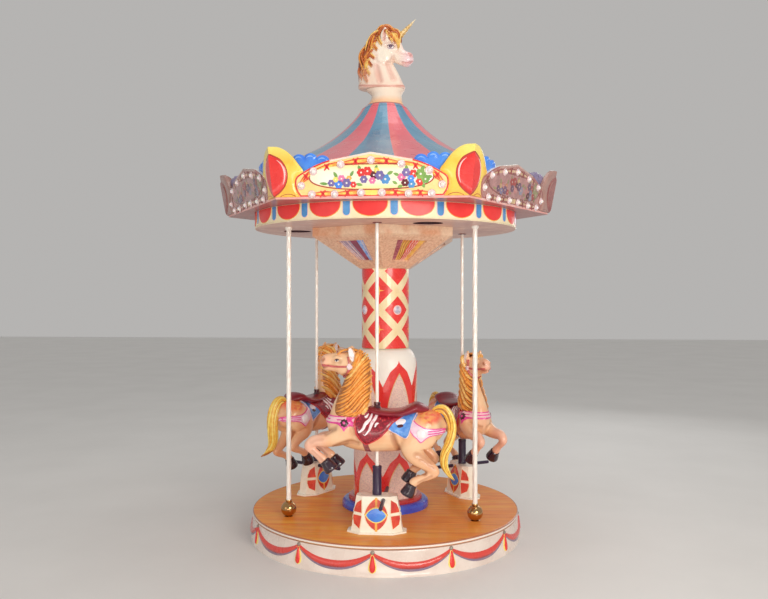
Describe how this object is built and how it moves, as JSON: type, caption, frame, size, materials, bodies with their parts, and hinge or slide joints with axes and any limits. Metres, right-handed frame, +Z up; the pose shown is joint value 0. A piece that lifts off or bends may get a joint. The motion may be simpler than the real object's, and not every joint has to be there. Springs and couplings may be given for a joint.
{
  "type": "children's fairground carousel",
  "caption": "Small round fairground carousel: turning wooden deck, painted centre column, galloping horses on poles, and a canopy with picture boards, striped roof and unicorn bust.",
  "frame": {"origin": "centre of the round base on the ground, on the turning axis", "axes": "+Z up along the turning axis, the front horse and front picture board face -Y"},
  "size_m": [1.9358, 1.6778, 2.944],
  "materials": {
    "white_gelcoat": "glossy painted glass-fibre",
    "cream_gelcoat": "glossy painted glass-fibre",
    "red_gelcoat": "glossy painted glass-fibre",
    "blue_gelcoat": "glossy painted glass-fibre",
    "yellow_gelcoat": "glossy painted glass-fibre",
    "gold_fleck_gelcoat": "speckled gold paint",
    "horse_paint": "airbrushed gloss paint on glass-fibre",
    "bust_paint": "airbrushed gloss paint on glass-fibre",
    "gold_paint": "gold paint",
    "deck_wood": "varnished boards",
    "brass": "polished",
    "black_rubber": "satin",
    "mirror_panel": "mirrored acrylic",
    "bearing_steel": "machined"
  },
  "bodies": {
    "base": {"base_skirt": "white_gelcoat", "turntable_bearing": "bearing_steel"},
    "rotor": {"deck": "deck_wood", "column_plinth": "blue_gelcoat", "column_collar": "red_gelcoat", "column_drum": "white_gelcoat", "lattice_column": "red_gelcoat", "capital_frame": "gold_fleck_gelcoat", "capital_mirrors": "mirror_panel", "canopy_fascia": "cream_gelcoat", "crown_tray": "red_gelcoat", "picture_board_1": "cream_gelcoat", "picture_board_2": "cream_gelcoat", "picture_board_3": "cream_gelcoat", "picture_board_4": "cream_gelcoat", "picture_board_5": "cream_gelcoat", "picture_board_6": "cream_gelcoat", "crest_1": "yellow_gelcoat", "crest_2": "yellow_gelcoat", "crest_3": "yellow_gelcoat", "crest_4": "yellow_gelcoat", "crest_5": "yellow_gelcoat", "crest_6": "yellow_gelcoat", "cloud_1": "blue_gelcoat", "cloud_2": "blue_gelcoat", "cloud_3": "blue_gelcoat", "cloud_4": "blue_gelcoat", "cloud_5": "blue_gelcoat", "cloud_6": "blue_gelcoat", "roof_shell": "red_gelcoat", "roof_wall": "red_gelcoat", "roof_cap": "red_gelcoat", "finial_neck": "cream_gelcoat", "unicorn_bust": "bust_paint", "unicorn_horn": "gold_paint", "pedestal_1": "cream_gelcoat", "pedestal_2": "cream_gelcoat", "pedestal_3": "cream_gelcoat", "footrest_1": "black_rubber", "footrest_2": "black_rubber", "footrest_3": "black_rubber", "pole_sleeve_1": "black_rubber", "pole_sleeve_2": "black_rubber", "pole_sleeve_3": "black_rubber", "canopy_pole_1": "brass", "canopy_pole_2": "brass", "canopy_pole_3": "brass"},
    "front_horse": {"horse_1": "horse_paint", "horse_pole_1": "brass"},
    "right_horse": {"horse_2": "horse_paint", "horse_pole_2": "brass"},
    "left_horse": {"horse_3": "horse_paint", "horse_pole_3": "brass"}
  },
  "joints": [
    {"name": "rotor_spin", "type": "hinge", "parent": "base", "child": "rotor", "pos_m": [0, 0, 0], "axis": [0, 0, 1], "continuous": true},
    {"name": "front_horse_lift", "type": "slide", "parent": "rotor", "child": "front_horse", "axis": [0, 0, 1], "range_m": [-0.07, 0.005]},
    {"name": "right_horse_lift", "type": "slide", "parent": "rotor", "child": "right_horse", "axis": [0, 0, 1], "range_m": [-0.005, 0.07]},
    {"name": "left_horse_lift", "type": "slide", "parent": "rotor", "child": "left_horse", "axis": [0, 0, 1], "range_m": [-0.0375, 0.0375]}
  ]
}
